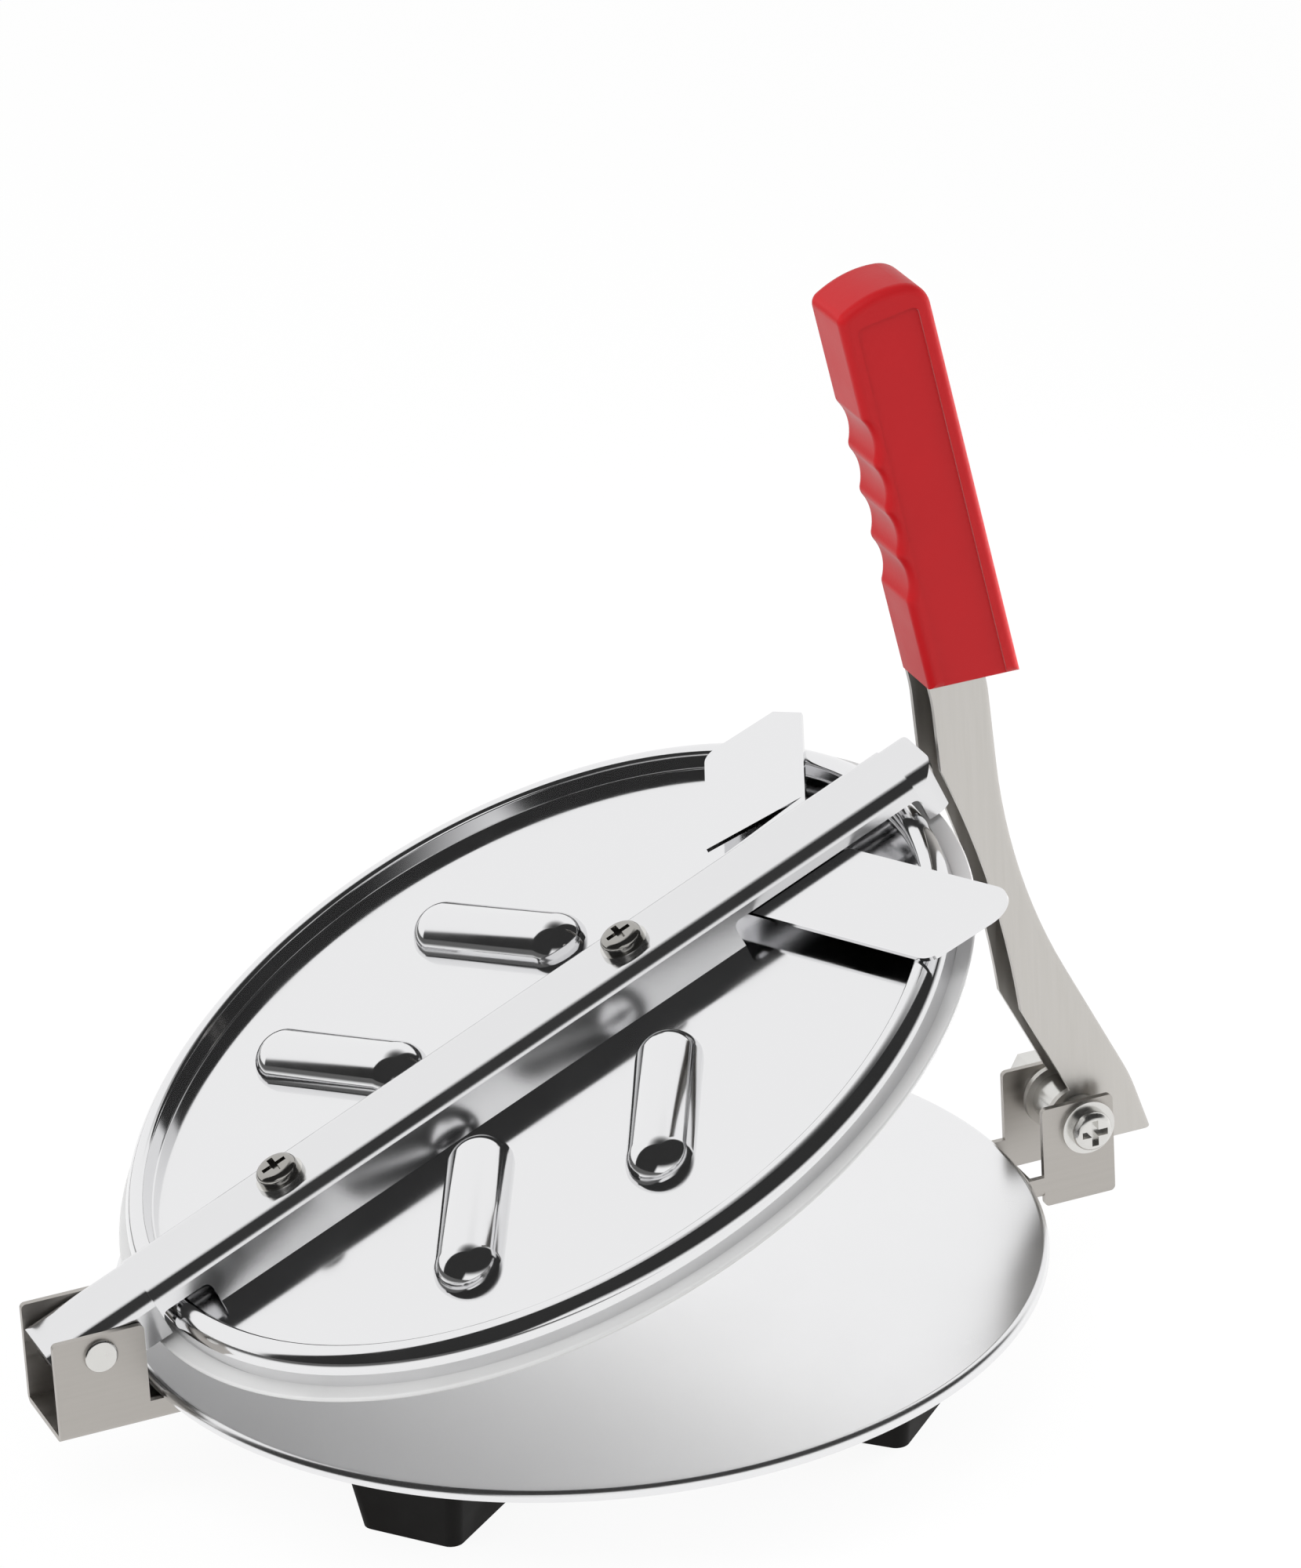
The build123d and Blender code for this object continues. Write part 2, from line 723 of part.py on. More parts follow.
# Bolt through both ears, its head to the front, with a washer at each ear and a nut behind
washer_face = ear_outer + bolt_washer_height
nut_face = washer_face + bolt_nut_height
bolt_face = washer_face + bolt_head_height
with BuildPart() as lever_bolt:
    with BuildSketch(bolt_side.offset(washer_face)):
        Circle(bolt_head_diameter / 2)
    extrude(amount=bolt_head_height)
    fillet(lever_bolt.edges().group_by(Axis.Y)[0], bolt_head_round)
    with BuildSketch(bolt_side.offset(washer_face)):
        Circle(bolt_diameter / 2)
    extrude(amount=-washer_face - nut_face - bolt_end)
    with BuildSketch(bolt_side.offset(bolt_face)):
        Rectangle(bolt_recess_length, bolt_recess_width)
        Rectangle(bolt_recess_width, bolt_recess_length)
    extrude(amount=-bolt_recess_depth, mode=Mode.SUBTRACT)
save(lever_bolt, "lever_bolt")

with BuildPart() as lever_washers:
    for side in (-1, 1):
        with BuildSketch(bolt_side.offset(side * ear_outer)):
            Circle(bolt_washer_diameter / 2)
            Circle(bolt_diameter / 2 + hole_fit, mode=Mode.SUBTRACT)
        extrude(amount=side * bolt_washer_height)
save(lever_washers, "lever_washers")

with BuildPart() as lever_nut:
    with BuildSketch(bolt_side.offset(-washer_face)):
        RegularPolygon(bolt_nut_flats / 2, 6, major_radius=False)
        Circle(bolt_diameter / 2 + thread_fit, mode=Mode.SUBTRACT)
    extrude(amount=-bolt_nut_height)
save(lever_nut, "lever_nut")

# Grip: moulded block pushed over the tang, ridged on the lid's side, with a bordered panel each side
grip_half = grip_thickness / 2
grip_line_x = neck[0] - grip_offset * lean_cos
grip_line_z = neck[1] - grip_offset * lean_sin
grip_rise = (grip_bottom - grip_line_z) / lean_cos
grip_origin = (grip_line_x - grip_rise * lean_sin, 0, grip_bottom)
grip_side = Plane(origin=grip_origin, x_dir=(lean_cos, 0, lean_sin), z_dir=(0, -1, 0))
bottom_slope = tan(radians(grip_lean))
grip_taper = (grip_bottom_half - grip_top_half) / grip_length
tang_top = grip_side.to_local_coords(Vector(tang_end[0], 0, tang_end[1])).Y


def grip_edge(height):
    return grip_bottom_half - grip_taper * height


ridge_points = []
groove_points = []
for ridge in range(grip_ridges):
    ridge_height = grip_ridge_start + ridge * grip_ridge_pitch
    groove_height = ridge_height + grip_ridge_pitch / 2
    ridge_points.append((-grip_edge(ridge_height), ridge_height))
    groove_points.append((grip_ridge_depth - grip_edge(groove_height), groove_height))
left_low = (-grip_bottom_half, grip_bottom_half * bottom_slope)
right_low = (grip_bottom_half, -grip_bottom_half * bottom_slope)
left_high = (-grip_top_half, grip_length - grip_crown)
right_high = (grip_top_half, grip_length - grip_crown)
crown_point = (grip_top_half * grip_crown_place, grip_length)
with BuildPart() as lever_grip:
    with BuildSketch(grip_side) as grip_outline:
        with BuildLine():
            Line(right_low, left_low)
            Line(left_low, ridge_points[0])
            for ridge in range(grip_ridges - 1):
                ThreePointArc(ridge_points[ridge], groove_points[ridge], ridge_points[ridge + 1])
            Line(ridge_points[-1], left_high)
            Spline(left_high, crown_point, right_high)
            Line(right_high, right_low)
        make_face()
        fillet(grip_outline.vertices().sort_by(Axis.Y)[2 : 2 + grip_ridges], grip_ridge_round)
        top_corners = grip_outline.vertices().sort_by(Axis.Y)[-2:].sort_by(Axis.X)
        fillet(top_corners[0], grip_lid_round)
        fillet(grip_outline.vertices().sort_by(Axis.Y)[-3:].sort_by(Axis.X)[-1], grip_back_round)
    extrude(amount=grip_half, both=True)
    grip_rims = lever_grip.faces().filter_by(Axis.Y)
    fillet(grip_rims[0].edges() + grip_rims[-1].edges(), grip_edge_round)
    for side in (-1, 1):
        with BuildSketch(grip_side.offset(side * grip_half)) as grip_panel:
            with BuildLine():
                Polyline(
                    (grip_panel_side - grip_bottom_half + grip_ridge_depth, -grip_bottom_half),
                    (grip_panel_side - grip_top_half + grip_ridge_depth, left_high[1] - grip_panel_border),
                    (grip_top_half - grip_panel_border, left_high[1] - grip_panel_border),
                    (grip_bottom_half - grip_panel_border, -grip_bottom_half),
                    close=True,
                )
            make_face()
            fillet(grip_panel.vertices().group_by(Axis.Y)[-1], grip_panel_side)
        extrude(amount=-side * grip_panel_depth, mode=Mode.SUBTRACT)
    with BuildSketch(grip_side):
        with Locations((grip_offset + grip_fit, tang_top + grip_fit)):
            Rectangle(
                tang_depth + 2 * grip_fit,
                tang_length + lever_depth,
                align=(Align.MAX, Align.MAX),
            )
    extrude(amount=lever_half + grip_fit, both=True, mode=Mode.SUBTRACT)
save(lever_grip, "lever_grip")
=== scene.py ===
import math

import bpy
from mathutils import Matrix, Vector


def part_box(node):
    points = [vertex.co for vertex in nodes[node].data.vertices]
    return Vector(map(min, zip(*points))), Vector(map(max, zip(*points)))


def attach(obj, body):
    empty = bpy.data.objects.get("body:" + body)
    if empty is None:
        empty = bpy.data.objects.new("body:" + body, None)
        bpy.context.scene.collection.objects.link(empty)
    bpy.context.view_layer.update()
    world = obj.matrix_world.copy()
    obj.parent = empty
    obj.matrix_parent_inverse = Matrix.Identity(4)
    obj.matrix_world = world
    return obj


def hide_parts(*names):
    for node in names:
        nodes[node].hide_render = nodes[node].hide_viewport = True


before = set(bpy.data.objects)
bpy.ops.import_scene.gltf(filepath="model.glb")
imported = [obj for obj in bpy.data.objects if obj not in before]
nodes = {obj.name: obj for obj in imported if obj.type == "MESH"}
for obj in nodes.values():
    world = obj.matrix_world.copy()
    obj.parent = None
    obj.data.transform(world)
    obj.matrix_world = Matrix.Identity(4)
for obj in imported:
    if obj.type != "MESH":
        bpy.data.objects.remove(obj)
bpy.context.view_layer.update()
mm = 0.001
print("press loaded:", len(nodes), "CAD nodes")


def hexColour(code):
    parts = [int(code[i:i + 2], 16) / 255 for i in (1, 3, 5)]
    linear = [p / 12.92 if p <= 0.04045 else ((p + 0.055) / 1.055) ** 2.4 for p in parts]
    return (*linear, 1.0)


def addNode(tree, kind, inputs=None, **settings):
    node = tree.nodes.new(kind)
    for name, value in settings.items():
        setattr(node, name, value)
    for name, value in (inputs or {}).items():
        if isinstance(value, bpy.types.NodeSocket):
            tree.links.new(value, node.inputs[name])
        else:
            node.inputs[name].default_value = value
    return node


def startMaterial(name):
    material = bpy.data.materials.new(name)
    material.use_nodes = True
    tree = material.node_tree
    tree.nodes.clear()
    shader = addNode(tree, "ShaderNodeBsdfPrincipled")
    addNode(tree, "ShaderNodeOutputMaterial", {"Surface": shader.outputs["BSDF"]})
    place = addNode(tree, "ShaderNodeTexCoord").outputs["Object"]
    return material, tree, shader, place


def dress(names, material):
    for name in names:
        node = nodes[name]
        node.data.materials.clear()
        node.data.materials.append(material)


def addNoise(tree, place, sizeMm, detail):
    scale = 1 / (sizeMm * mm)
    return addNode(tree, "ShaderNodeTexNoise", {"Vector": place, "Scale": scale, "Detail": detail})


def addMath(tree, operation, first, second):
    return addNode(tree, "ShaderNodeMath", {0: first, 1: second}, operation=operation).outputs["Value"]


def addMix(tree, share, first, second):
    return addNode(tree, "ShaderNodeMixShader", {0: share, 1: first.outputs[0], 2: second.outputs[0]})


# turns a noise, whose values lie mostly between 0.3 and 0.7, into a range of roughness
def addRoughness(tree, shader, noise, limits):
    low, high = limits
    rough = addNode(tree, "ShaderNodeMapRange", {"Value": noise.outputs["Fac"], "From Min": 0.3,
                                                 "From Max": 0.7, "To Min": low, "To Max": high})
    tree.links.new(rough.outputs["Result"], shader.inputs["Roughness"])


def addBump(tree, shader, noise, strength, depthMm):
    bump = addNode(tree, "ShaderNodeBump", {"Height": noise.outputs["Fac"], "Strength": strength,
                                            "Distance": depthMm * mm})
    tree.links.new(bump.outputs["Normal"], shader.inputs["Normal"])


def addTint(tree, shader, noise, dark, light):
    tint = addNode(tree, "ShaderNodeMix", {"Factor": noise.outputs["Fac"], "A": hexColour(dark),
                                           "B": hexColour(light)}, data_type="RGBA")
    tree.links.new(tint.outputs["Result"], shader.inputs["Base Color"])


# polished stainless sheet: rolled, pressed and buffed, so it mirrors the room with a slight haze
# and a slow ripple
polishedSheet = {
    "colour": "#E9E9EA",
    "roughness": (0.07, 0.12),   # buffed, with cloudier patches
    "cloudMm": 14.0,
    "rippleMm": 38.0,
    "ripple": 0.05,
    "rippleDepthMm": 2.0,
}


def makePolishedSteel(name, look):
    material, tree, shader, place = startMaterial(name)
    cloud = addNoise(tree, place, look["cloudMm"], 3.0)
    ripple = addNoise(tree, place, look["rippleMm"], 1.0)
    shader.inputs["Base Color"].default_value = hexColour(look["colour"])
    shader.inputs["Metallic"].default_value = 1.0
    addRoughness(tree, shader, cloud, look["roughness"])
    addBump(tree, shader, ripple, look["ripple"], look["rippleDepthMm"])
    return material


# satin steel strip: cold-rolled and lightly brushed along its length, so it shows a soft grey sheen
satinStrip = {
    "colour": "#D2CFCB",
    "dark": "#C0BDB8",
    "roughness": (0.34, 0.46),
    "grainMm": 1.2,
    "grainStretch": 18.0,
    "grainBump": 0.12,
    "grainDepthMm": 0.1,
}
# the base's channel is the same strip, duller
satinEars = dict(satinStrip, colour="#BFBBB6", dark="#AFABA6")


def makeSatinSteel(name, look, along):
    material, tree, shader, place = startMaterial(name)
    stretch = [1.0, 1.0, 1.0]
    stretch["XYZ".index(along)] = 1 / look["grainStretch"]
    lined = addNode(tree, "ShaderNodeMapping", {"Vector": place, "Scale": stretch})
    grain = addNoise(tree, lined.outputs["Vector"], look["grainMm"], 4.0)
    shader.inputs["Metallic"].default_value = 1.0
    addTint(tree, shader, grain, look["dark"], look["colour"])
    addRoughness(tree, shader, grain, look["roughness"])
    addBump(tree, shader, grain, look["grainBump"], look["grainDepthMm"])
    return material


# red polypropylene grip: moulded, half glossy, with the fine grain of its tool
redMoulding = {
    "colour": "#B81018",
    "deep": "#AC0E15",
    "roughness": (0.34, 0.46),
    "grainMm": 0.5,
    "gloss": 0.25,
    "metal": 0.0,
    "flowMm": 16.6667,
    "grainBump": 0.15,
    "grainDepthMm": 0.1,
}


def makeGrainedSkin(name, look):
    material, tree, shader, place = startMaterial(name)
    grain = addNoise(tree, place, look["grainMm"], 2.0)
    flow = addNoise(tree, place, look["flowMm"], 3.0)
    shader.inputs["Metallic"].default_value = look["metal"]
    shader.inputs["Specular IOR Level"].default_value = look["gloss"]
    addTint(tree, shader, flow, look["deep"], look["colour"])
    addRoughness(tree, shader, flow, look["roughness"])
    addBump(tree, shader, grain, look["grainBump"], look["grainDepthMm"])
    return material


# black rubber feet: moulded and matt, a little dusty
blackRubber = {
    "colour": "#0E0B09",
    "deep": "#070605",
    "roughness": (0.55, 0.75),
    "grainMm": 0.7,
    "gloss": 0.15,
    "metal": 0.0,
    "flowMm": 16.6667,
    "grainBump": 0.15,
    "grainDepthMm": 0.1,
}

# bright zinc fasteners: small turned and stamped parts, plated, with a soft shine
brightZinc = {
    "colour": "#DAD9D6",
    "roughness": (0.16, 0.28),
    "cloudMm": 2.0,
    "rippleMm": 5.0,
    "ripple": 0.03,
    "rippleDepthMm": 2.0,
}

# stainless disc of the base: buffed less than the lid, so that it mirrors with a wide haze
buffedDisc = {
    "colour": "#EDEDEE",
    "roughness": (0.20, 0.25),
    "cloudMm": 30.0,
    "rippleMm": 60.0,
    "ripple": 0.02,
    "rippleDepthMm": 2.0,
}

# aluminium press plate: rolled sheet, matt and pale
rolledAlloy = {
    "colour": "#D6D6D6",
    "deep": "#CBCBCB",
    "roughness": (0.38, 0.48),
    "grainMm": 0.8,
    "gloss": 0.5,
    "metal": 0.2,
    "flowMm": 16.6667,
    "grainBump": 0.15,
    "grainDepthMm": 0.1,
}

# folded beam: the same sheet, a little hazier after bending
bentSheet = {
    "colour": "#E4E4E5",
    "roughness": (0.14, 0.19),
    "cloudMm": 14.0,
    "rippleMm": 30.0,
    "ripple": 0.05,
    "rippleDepthMm": 2.0,
}

# screw heads on the beam: darker and shinier than the other fasteners
darkScrew = {
    "colour": "#A9A7A3",
    "roughness": (0.10, 0.18),
    "cloudMm": 2.0,
    "rippleMm": 5.0,
    "ripple": 0.03,
    "rippleDepthMm": 2.0,
}

polishedSteel = makePolishedSteel("polishedStainlessSheet", polishedSheet)
beamSteel = makePolishedSteel("foldedStainlessBeam", bentSheet)
screwSteel = makePolishedSteel("darkScrewSteel", darkScrew)
discSteel = makePolishedSteel("buffedStainlessDisc", buffedDisc)
pressAlloy = makeGrainedSkin("rolledAluminiumPlate", rolledAlloy)
satinLever = makeSatinSteel("satinSteelLever", satinStrip, "Z")
satinChannel = makeSatinSteel("satinSteelChannel", satinEars, "X")
zinc = makePolishedSteel("brightZincFasteners", brightZinc)
gripPlastic = makeGrainedSkin("redPolypropyleneGrip", redMoulding)
footRubber = makeGrainedSkin("blackRubberFeet", blackRubber)

dress(["lid_wing"], polishedSteel)
dress(["lid_beam"], beamSteel)
dress(["lid_screws"], screwSteel)
dress(["lever_arm"], satinLever)
dress(["base_channel"], satinChannel)
dress(["lever_grip"], gripPlastic)
dress(["foot_front_left", "foot_front_right", "foot_rear_left", "foot_rear_right"], footRubber)
dress(["foot_studs", "foot_washers", "foot_nuts", "hinge_pin", "lever_bolt", "lever_nut",
       "lever_washers", "lever_spacers", "lever_bush", "lid_posts", "lid_washers"], zinc)
# the photographed metal shows no red
nodes["lever_grip"].visible_glossy = False
print("materials set")


# the three turned sheets, drawn again with fine steps so that their small rounds mirror cleanly
turned = {
    "steps": 288,
    "openAngle": 23.6,           # of the lid at rest, in degrees from closed
    "near": 1e-6,                # points closer than this are the same
}
baseLow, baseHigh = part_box("base_plate")
pinLow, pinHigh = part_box("hinge_pin")
baseCentre = Matrix.Translation(((baseLow.x + baseHigh.x) / 2, 0, 0))
hinge = Vector(((pinLow.x + pinHigh.x) / 2, 0, (pinLow.z + pinHigh.z) / 2))
lidTurn = Matrix.Translation(hinge) @ Matrix.Rotation(-math.radians(turned["openAngle"]), 4, "Y")
lidPlace = lidTurn @ Matrix.Translation(-hinge) @ baseCentre


def selectRing(piece, radius, height):
    bpy.ops.mesh.select_all(action="DESELECT")
    bpy.ops.object.mode_set(mode="OBJECT")
    near = turned["near"]
    on = [abs(math.hypot(v.co.x, v.co.y) - radius) < near and abs(v.co.z - height) < near
          for v in piece.data.vertices]
    for edge in piece.data.edges:
        edge.select = all(on[i] for i in edge.vertices)
    bpy.ops.object.mode_set(mode="EDIT")


def settle(piece, place, material):
    bpy.ops.object.mode_set(mode="OBJECT")
    piece.matrix_world = place
    bpy.ops.object.transform_apply(location=True, rotation=True, scale=True)
    bpy.ops.object.shade_smooth()
    piece.data.materials.append(material)


def applyModifier(piece, kind, **settings):
    modifier = piece.modifiers.new(kind.lower(), kind)
    for name, value in settings.items():
        setattr(modifier, name, value)
    bpy.ops.object.modifier_apply(modifier=modifier.name)


def turnSheet(name, look, place, material):
    bpy.ops.object.select_all(action="DESELECT")
    outline = [(r * mm, z * mm) for r, z in look["outline"]]
    radius, height = outline[0]
    bpy.ops.mesh.primitive_circle_add(vertices=turned["steps"], radius=radius, fill_type="NGON")
    piece = bpy.context.object
    piece.name = name
    bpy.ops.object.mode_set(mode="EDIT")
    bpy.ops.mesh.select_mode(type="EDGE")
    bpy.ops.mesh.select_all(action="SELECT")
    bpy.ops.transform.translate(value=(0, 0, height))
    for nextRadius, nextHeight in outline[1:]:
        drop = (0, 0, nextHeight - height)
        bpy.ops.mesh.extrude_edges_move(TRANSFORM_OT_translate={"value": drop})
        grow = nextRadius / radius
        bpy.ops.transform.resize(value=(grow, grow, 1), center_override=(0, 0, nextHeight))
        radius, height = nextRadius, nextHeight
    if look["closed"]:
        bpy.ops.mesh.edge_face_add()
    for (cornerRadius, cornerHeight), (size, segments) in zip(outline, look["rounds"]):
        selectRing(piece, cornerRadius, cornerHeight)
        bpy.ops.mesh.bevel(offset=size * mm, segments=segments, profile=0.5, affect="EDGES")
    bpy.ops.mesh.select_all(action="SELECT")
    bpy.ops.mesh.normals_make_consistent(inside=False)
    settle(piece, place, material)
    if not look["closed"]:
        applyModifier(piece, "SOLIDIFY", thickness=look["sheet"] * mm, offset=-1)
    applyModifier(piece, "WEIGHTED_NORMAL", keep_sharp=True)
    return piece


# base plate: a disc folded down and in under its edge
baseSheet = {
    "outline": [(90.0, 25.0), (90.0, 22.0), (84.0, 22.0)],
    "rounds": [(1.44, 7), (1.44, 7)],
    "sheet": 0.8,
    "closed": False,
}
turnedBase = turnSheet("turnedBase", baseSheet, baseCentre, discSteel)
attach(turnedBase, "base")
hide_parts("base_plate")

# press plate: a thin flat disc with a softened edge
pressSheet = {
    "outline": [(89.6, 27.0), (89.6, 26.0)],
    "rounds": [(0.48, 5), (0.48, 5)],
    "closed": True,
}
turnedPress = turnSheet("turnedPress", pressSheet, lidPlace, pressAlloy)
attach(turnedPress, "lid")
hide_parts("press_plate")

# cover: flat, with an upright bead that is rolled over and down to the press plate
coverSheet = {
    "outline": [(81.2, 29.4), (81.35, 33.4), (86.2, 33.4), (86.2, 27.0)],
    "rounds": [(0.4, 3), (1.0, 6), (3.6, 14)],
    "sheet": 0.8,
    "closed": False,
}
# pressed ribs: long half-round swellings with round noses, two on each side of the beam
pressedRib = {
    "width": 13.6,
    "length": 42.5,
    "height": 28.6,
    "lean": 29.0,
    "sheet": 0.8,
    "places": [(10.3, 40.9), (-29.6, 34.6)],
    "segments": 96,
}


def addRib(look, along, across, side, material):
    bpy.ops.object.select_all(action="DESELECT")
    radius = look["width"] / 2 * mm
    straight = look["length"] / 2 * mm - radius
    bpy.ops.mesh.primitive_uv_sphere_add(segments=look["segments"], radius=radius,
                                         ring_count=look["segments"] // 2)
    rib = bpy.context.object
    rib.rotation_euler = (0, math.pi / 2, 0)
    bpy.ops.object.transform_apply(rotation=True)
    bpy.ops.object.mode_set(mode="EDIT")
    bpy.ops.mesh.select_mode(type="EDGE")
    bpy.ops.mesh.select_all(action="SELECT")
    bpy.ops.mesh.bisect(plane_co=(0, 0, 0), plane_no=(1, 0, 0), clear_inner=True)
    bpy.ops.mesh.select_all(action="SELECT")
    bpy.ops.transform.translate(value=(straight, 0, 0))
    bpy.ops.mesh.select_all(action="DESELECT")
    bpy.ops.mesh.select_non_manifold()
    bpy.ops.mesh.extrude_edges_move(TRANSFORM_OT_translate={"value": (-straight, 0, 0)})
    bpy.ops.object.mode_set(mode="OBJECT")
    applyModifier(rib, "MIRROR", merge_threshold=turned["near"])
    bpy.ops.object.mode_set(mode="EDIT")
    bpy.ops.mesh.select_all(action="SELECT")
    bpy.ops.mesh.bisect(plane_co=(0, 0, 0), plane_no=(0, 0, 1), clear_inner=True)
    bpy.ops.mesh.select_all(action="SELECT")
    bpy.ops.mesh.normals_make_consistent(inside=False)
    turn = math.radians(90 + look["lean"]) * side
    place = Matrix.Translation((along * mm, side * across * mm, look["height"] * mm))
    settle(rib, lidPlace @ place @ Matrix.Rotation(turn, 4, "Z"), material)
    applyModifier(rib, "SOLIDIFY", thickness=look["sheet"] * mm, offset=-1)
    return rib


turnedCover = turnSheet("turnedCover", coverSheet, lidPlace, polishedSteel)
ribs = [addRib(pressedRib, along, across, side, polishedSteel)
        for along, across in pressedRib["places"] for side in (-1, 1)]
bpy.ops.object.select_all(action="DESELECT")
for piece in (*ribs, turnedCover):
    piece.select_set(True)
bpy.context.view_layer.objects.active = turnedCover
bpy.ops.object.join()
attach(turnedCover, "lid")
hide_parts("lid_cover")
print("turned sheets made")


# white studio with a dark ceiling: the walls are bright to well above the horizon behind the press,
# only a little above it in front and hardly at all on the left, so polished metal shows white
# sheets and dark rounded edges
studio = {
    "floorSize": 6.0,
    "floorColour": "#F3F3F2",
    "floorGlow": 0.92,           # share of plain white where the floor is seen or mirrored
    "fill": 0.75,                # light of the room on what is matt
    "wallTop": (0.16, 0.42),     # soft upper edge of the wall in front, as the sine of the elevation
    "back": (0.087, 0.996, 0.0),  # middle of the back wall
    "backEdge": (0.28, 0.52),    # its soft sides, as the cosine from its middle
    "backRise": 0.60,            # how much higher it stands
    "left": (-0.985, -0.17, 0.0),  # middle of the dark side
    "leftEdge": (0.70, 0.92),
    "leftDrop": 0.50,            # how much lower the wall stands on the left
    "flagEdge": (-0.34, -0.20),  # edge of a dark cloth on the floor at the left, only seen mirrored
    "ceiling": 0.03,             # brightness of the dark parts
}


def makeWorld(look):
    world = bpy.data.worlds.new("whiteStudio")
    bpy.context.scene.world = world
    world.use_nodes = True
    tree = world.node_tree
    tree.nodes.clear()
    way = addNode(tree, "ShaderNodeTexCoord").outputs["Generated"]
    height = addNode(tree, "ShaderNodeSeparateXYZ", {"Vector": way}).outputs["Z"]
    level = addNode(tree, "ShaderNodeVectorMath", {0: way, 1: (1, 1, 0)}, operation="MULTIPLY")
    level = addNode(tree, "ShaderNodeVectorMath", {0: level.outputs["Vector"]}, operation="NORMALIZE")
    for side, change, sign in (("back", "backRise", "SUBTRACT"), ("left", "leftDrop", "ADD")):
        facing = addNode(tree, "ShaderNodeVectorMath", {0: level.outputs["Vector"], 1: look[side]},
                         operation="DOT_PRODUCT")
        low, high = look[side + "Edge"]
        shift = addNode(tree, "ShaderNodeMapRange", {"Value": facing.outputs["Value"], "From Min": low,
                                                     "From Max": high, "To Max": look[change]},
                        interpolation_type="SMOOTHSTEP")
        height = addMath(tree, sign, height, shift.outputs["Result"])
    bright = addNode(tree, "ShaderNodeMapRange", {"Value": height, "From Min": look["wallTop"][0],
                                                  "From Max": look["wallTop"][1], "To Min": 1.0,
                                                  "To Max": look["ceiling"]},
                     interpolation_type="SMOOTHSTEP")
    rays = addNode(tree, "ShaderNodeLightPath").outputs
    seen = addMath(tree, "MAXIMUM", rays["Is Camera Ray"], rays["Is Transmission Ray"])
    soft = addNode(tree, "ShaderNodeBackground", {"Color": (1, 1, 1, 1), "Strength": look["fill"]})
    mirrored = addNode(tree, "ShaderNodeBackground", {"Color": bright.outputs["Result"]})
    plain = addNode(tree, "ShaderNodeBackground", {"Color": (1, 1, 1, 1)})
    lighting = addMix(tree, rays["Is Glossy Ray"], soft, mirrored)
    backdrop = addMix(tree, seen, lighting, plain)
    addNode(tree, "ShaderNodeOutputWorld", {"Surface": backdrop.outputs[0]})


def makeFloor(look):
    bpy.ops.object.select_all(action="DESELECT")
    bpy.ops.mesh.primitive_plane_add(size=look["floorSize"], location=(0, 0, 0))
    floor = bpy.context.object
    floor.name = "studioFloor"
    material = bpy.data.materials.new("whiteFloor")
    material.use_nodes = True
    tree = material.node_tree
    tree.nodes.clear()
    rays = addNode(tree, "ShaderNodeLightPath").outputs
    seen = addMath(tree, "MAXIMUM", rays["Is Camera Ray"], rays["Is Transmission Ray"])
    seen = addMath(tree, "MAXIMUM", seen, rays["Is Glossy Ray"])
    share = addMath(tree, "MULTIPLY", seen, look["floorGlow"])
    across = addNode(tree, "ShaderNodeTexCoord").outputs["Object"]
    across = addNode(tree, "ShaderNodeSeparateXYZ", {"Vector": across}).outputs["X"]
    low, high = look["flagEdge"]
    lit = addNode(tree, "ShaderNodeMapRange", {"Value": across, "From Min": low, "From Max": high,
                                               "To Min": look["ceiling"]},
                  interpolation_type="SMOOTHSTEP")
    lit = addMath(tree, "MAXIMUM", lit.outputs["Result"], rays["Is Camera Ray"])
    matt = addNode(tree, "ShaderNodeBsdfDiffuse", {"Color": hexColour(look["floorColour"])})
    glow = addNode(tree, "ShaderNodeEmission", {"Color": (1, 1, 1, 1), "Strength": lit})
    mixed = addMix(tree, share, matt, glow)
    addNode(tree, "ShaderNodeOutputMaterial", {"Surface": mixed.outputs[0]})
    floor.data.materials.append(material)


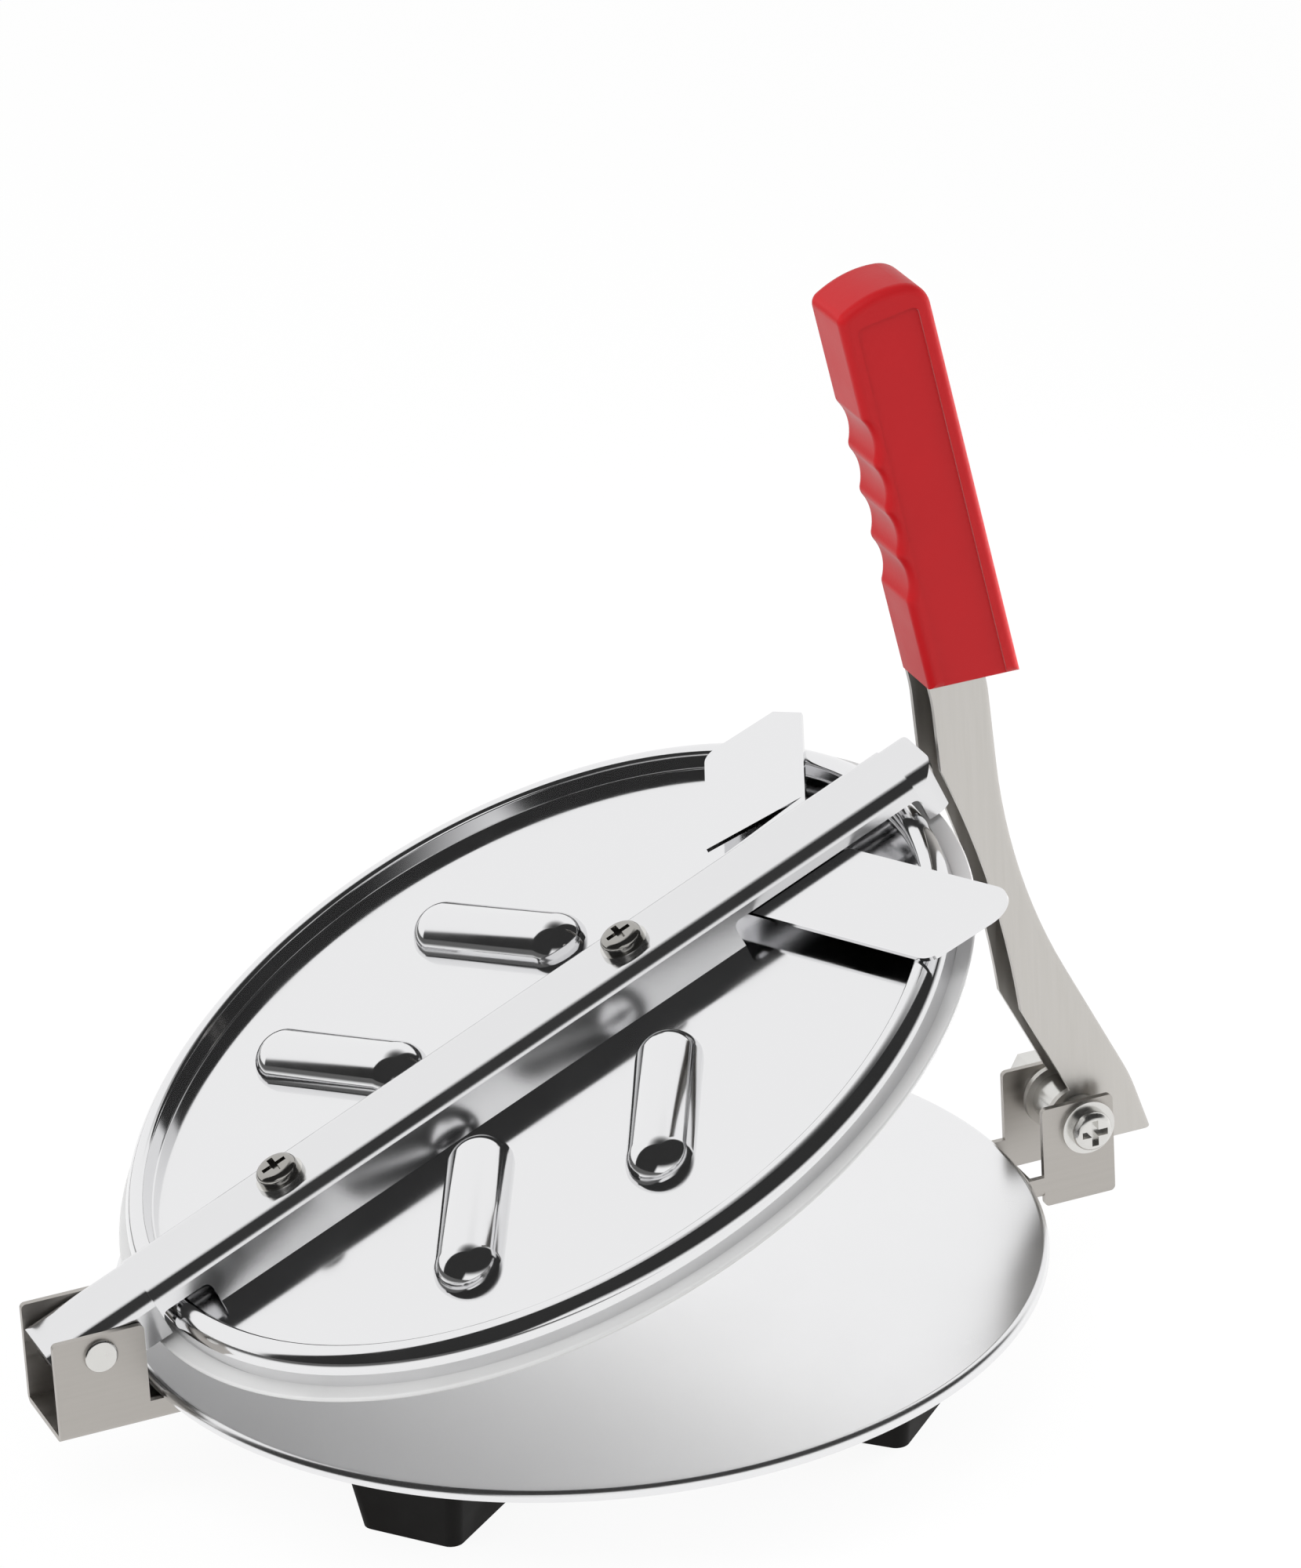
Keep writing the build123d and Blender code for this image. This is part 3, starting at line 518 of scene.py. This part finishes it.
# soft boxes light only what is matt: above the press, at its left, and low at its right for the
# underside of the lid
softboxes = {
    "keySoftbox": {"place": (-0.6, -0.5, 1.5), "aim": (0, 0, 0.08), "size": (1.2, 1.2), "watts": 9.0},
    "sideSoftbox": {"place": (-1.3, 0.1, 0.8), "aim": (0.1, 0, 0.16), "size": (0.8, 0.8), "watts": 8.0},
    "lowSoftbox": {"place": (0.38, 0.05, 0.09), "aim": (0, 0, 0.07), "size": (0.3, 0.12), "watts": 1.8},
}


def addSoftbox(name, look):
    lamp = bpy.data.lights.new(name, "AREA")
    lamp.shape = "RECTANGLE"
    lamp.size, lamp.size_y = look["size"]
    lamp.energy = look["watts"]
    box = bpy.data.objects.new(name, lamp)
    bpy.context.scene.collection.objects.link(box)
    box.location = look["place"]
    aim = Vector(look["aim"]) - Vector(look["place"])
    box.rotation_euler = aim.to_track_quat("-Z", "Y").to_euler()
    box.visible_glossy = False
    box.visible_camera = False


makeWorld(studio)
makeFloor(studio)
for name, look in softboxes.items():
    addSoftbox(name, look)
print("studio set")


# camera: long lens, from the front left and above, rolled a little as the photograph is
view = {
    "azimuth": -21.49,
    "elevation": 25.18,
    "roll": -3.30,
    "distance": 1.5103,
    "target": (0.015322, 0.0, 0.12031),
    "focalPixels": 10250,
    "imageHeight": 2000,
    "sensor": 36.0,
    "clip": (0.05, 30.0),
}


def makeCamera(look):
    az, el, roll = (math.radians(look[k]) for k in ("azimuth", "elevation", "roll"))
    back = Vector((math.sin(az) * math.cos(el), -math.cos(az) * math.cos(el), math.sin(el)))
    right = Vector((math.cos(az), math.sin(az), 0))
    up = back.cross(right)
    turnedRight = right * math.cos(roll) + up * math.sin(roll)
    turnedUp = up * math.cos(roll) - right * math.sin(roll)
    lens = bpy.data.cameras.new("photoCamera")
    lens.sensor_fit = "VERTICAL"
    lens.sensor_height = look["sensor"]
    lens.lens = look["focalPixels"] / look["imageHeight"] * look["sensor"]
    lens.clip_start, lens.clip_end = look["clip"]
    camera = bpy.data.objects.new("photoCamera", lens)
    bpy.context.scene.collection.objects.link(camera)
    place = Vector(look["target"]) + back * look["distance"]
    turn = Matrix((turnedRight, turnedUp, back)).transposed()
    camera.matrix_world = Matrix.Translation(place) @ turn.to_4x4()
    bpy.context.scene.camera = camera


makeCamera(view)
bpy.context.scene.view_settings.view_transform = "Standard"
print("camera set")
